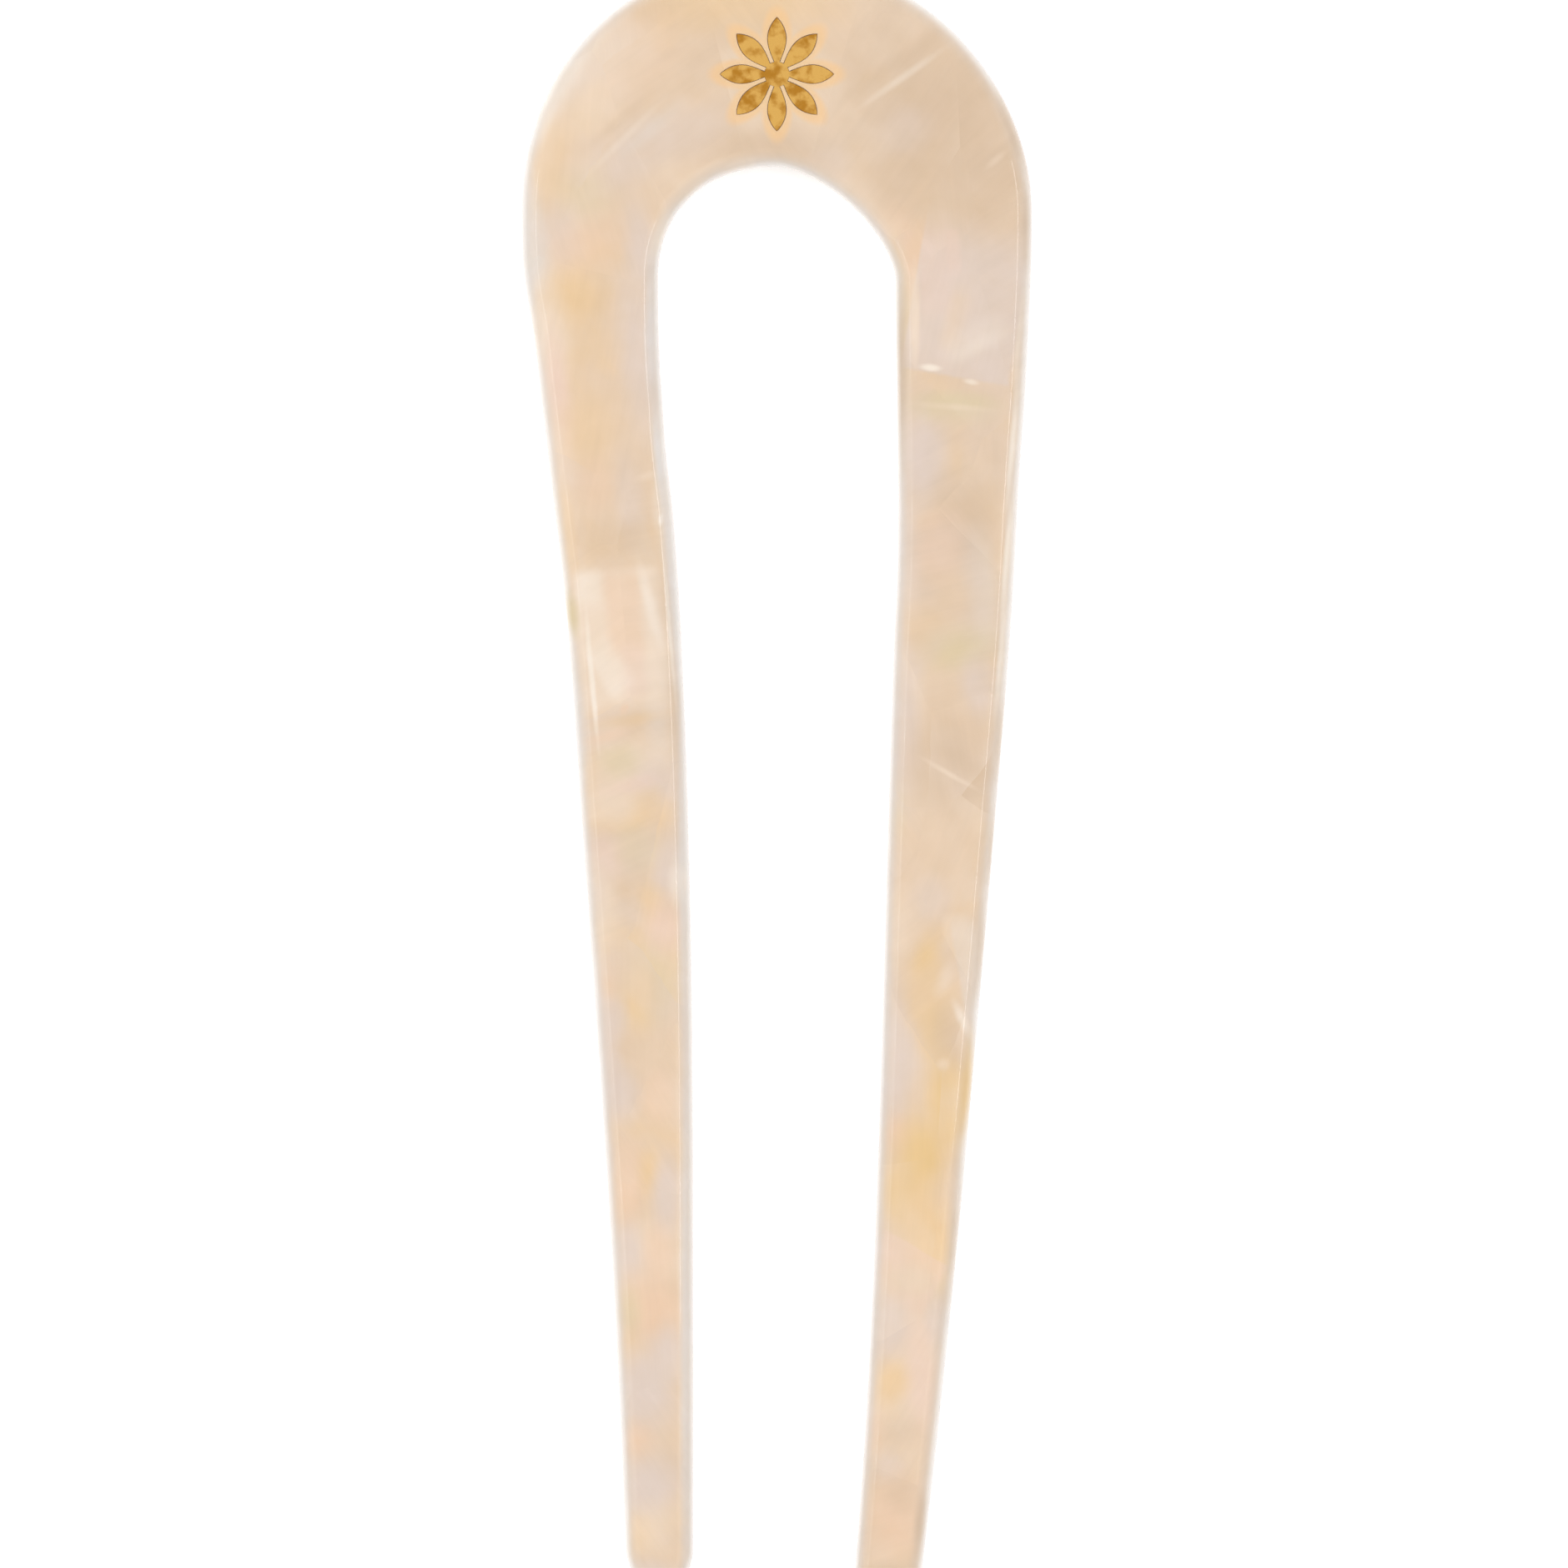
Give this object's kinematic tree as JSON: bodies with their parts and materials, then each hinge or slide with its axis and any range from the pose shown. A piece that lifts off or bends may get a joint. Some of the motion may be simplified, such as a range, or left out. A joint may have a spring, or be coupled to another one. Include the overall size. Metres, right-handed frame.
{
  "type": "french hair pin",
  "caption": "Flat U-shaped hair pin of marbled pearl acetate, with a round crown, two tapering legs with round tips, and a small gold foil rosette on the crown.",
  "frame": {"origin": "middle of the pin's length and width, on the flat back face that it lies on", "axes": "+X to the right as seen from the stamped face, +Y from the tips towards the crown, +Z out of the stamped face"},
  "size_m": [0.0352, 0.114, 0.004],
  "materials": {
    "acetate": "polished, marbled like mother-of-pearl in cream, peach and pale lilac",
    "gold_foil": "hot-stamped gold foil, bright with a fine grain"
  },
  "bodies": {
    "root": {"pin": "acetate", "foil_rosette": "gold_foil"}
  },
  "joints": []
}
